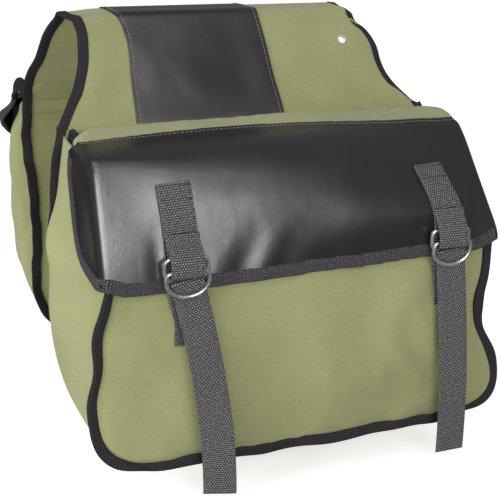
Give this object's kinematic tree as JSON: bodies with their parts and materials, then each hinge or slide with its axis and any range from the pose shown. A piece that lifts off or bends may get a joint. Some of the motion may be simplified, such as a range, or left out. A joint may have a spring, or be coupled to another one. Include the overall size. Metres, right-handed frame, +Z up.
{
  "type": "saddle bag",
  "caption": "Throw-over double saddle bag: two lidded canvas bags on a yoke that lies over a rear rack, closed by webbing straps and D-rings.",
  "frame": {"origin": "centre of the yoke's flat underside, where it lies on a rack", "axes": "+X along the bags' width, -Y towards the packed front bag, +Y towards the slack rear bag, +Z up"},
  "size_m": [0.3376, 0.3672, 0.3368],
  "materials": {
    "canvas": "matte olive plain-weave canvas with a coated lining",
    "leather": "semi-gloss black coated leather cloth with a fine grain",
    "binding_tape": "matte dark ribbed binding tape",
    "webbing": "matte dark grey woven webbing with a coarse light speckle",
    "ring_wire": "bright nickel-plated wire"
  },
  "bodies": {
    "yoke": {"yoke_canvas": "canvas", "yoke_centre_band": "leather", "yoke_binding_left": "binding_tape", "yoke_binding_right": "binding_tape"},
    "front_bag": {"front_back_panel": "canvas", "front_back_binding": "binding_tape", "front_gusset": "canvas", "front_front_panel": "canvas", "front_front_binding": "binding_tape", "front_mouth_binding": "binding_tape", "front_left_lower_strap": "webbing", "front_right_lower_strap": "webbing"},
    "front_flap": {"front_flap_canvas": "canvas", "front_flap_leather": "leather", "front_flap_binding": "binding_tape", "front_left_flap_strap": "webbing", "front_right_flap_strap": "webbing"},
    "front_left_buckle": {"front_left_ring_loop": "webbing", "front_left_back_ring": "ring_wire"},
    "front_left_ring": {"front_left_front_ring": "ring_wire"},
    "front_right_buckle": {"front_right_ring_loop": "webbing", "front_right_back_ring": "ring_wire"},
    "front_right_ring": {"front_right_front_ring": "ring_wire"},
    "rear_bag": {"rear_back_panel": "canvas", "rear_back_binding": "binding_tape", "rear_gusset": "canvas", "rear_front_panel": "canvas", "rear_front_binding": "binding_tape", "rear_mouth_binding": "binding_tape", "rear_left_lower_strap": "webbing", "rear_right_lower_strap": "webbing"},
    "rear_flap": {"rear_flap_canvas": "canvas", "rear_flap_leather": "leather", "rear_flap_binding": "binding_tape", "rear_left_flap_strap": "webbing", "rear_right_flap_strap": "webbing"},
    "rear_left_buckle": {"rear_left_ring_loop": "webbing", "rear_left_back_ring": "ring_wire"},
    "rear_left_ring": {"rear_left_front_ring": "ring_wire"},
    "rear_right_buckle": {"rear_right_ring_loop": "webbing", "rear_right_back_ring": "ring_wire"},
    "rear_right_ring": {"rear_right_front_ring": "ring_wire"}
  },
  "joints": [
    {"name": "front_bag_swing", "type": "hinge", "parent": "yoke", "child": "front_bag", "pos_m": [0, -0.083, -0.0735], "axis": [-1, 0, 0], "range_deg": [0, 25]},
    {"name": "front_flap_open", "type": "hinge", "parent": "front_bag", "child": "front_flap", "pos_m": [0, -0.0865, -0.0735], "axis": [-1, 0, 0], "range_deg": [0, 95]},
    {"name": "front_left_loop_lift", "type": "hinge", "parent": "front_flap", "child": "front_left_buckle", "pos_m": [-0.105, -0.2042, -0.1315], "axis": [-1, 0, 0], "range_deg": [0, 90]},
    {"name": "front_left_ring_lift", "type": "hinge", "parent": "front_left_buckle", "child": "front_left_ring", "pos_m": [-0.105, -0.2103, -0.1555], "axis": [-1, 0, 0], "range_deg": [0, 90]},
    {"name": "front_right_loop_lift", "type": "hinge", "parent": "front_flap", "child": "front_right_buckle", "pos_m": [0.105, -0.2042, -0.1315], "axis": [-1, 0, 0], "range_deg": [0, 90]},
    {"name": "front_right_ring_lift", "type": "hinge", "parent": "front_right_buckle", "child": "front_right_ring", "pos_m": [0.105, -0.2103, -0.1555], "axis": [-1, 0, 0], "range_deg": [0, 90]},
    {"name": "rear_bag_swing", "type": "hinge", "parent": "yoke", "child": "rear_bag", "pos_m": [0, 0.083, -0.0735], "axis": [1, 0, 0], "range_deg": [0, 25]},
    {"name": "rear_flap_open", "type": "hinge", "parent": "rear_bag", "child": "rear_flap", "pos_m": [0, 0.0865, -0.0735], "axis": [1, 0, 0], "range_deg": [0, 95]},
    {"name": "rear_left_loop_lift", "type": "hinge", "parent": "rear_flap", "child": "rear_left_buckle", "pos_m": [0.105, 0.1442, -0.1315], "axis": [1, 0, 0], "range_deg": [0, 90]},
    {"name": "rear_left_ring_lift", "type": "hinge", "parent": "rear_left_buckle", "child": "rear_left_ring", "pos_m": [0.105, 0.1503, -0.1555], "axis": [1, 0, 0], "range_deg": [0, 90]},
    {"name": "rear_right_loop_lift", "type": "hinge", "parent": "rear_flap", "child": "rear_right_buckle", "pos_m": [-0.105, 0.1442, -0.1315], "axis": [1, 0, 0], "range_deg": [0, 90]},
    {"name": "rear_right_ring_lift", "type": "hinge", "parent": "rear_right_buckle", "child": "rear_right_ring", "pos_m": [-0.105, 0.1503, -0.1555], "axis": [1, 0, 0], "range_deg": [0, 90]}
  ]
}
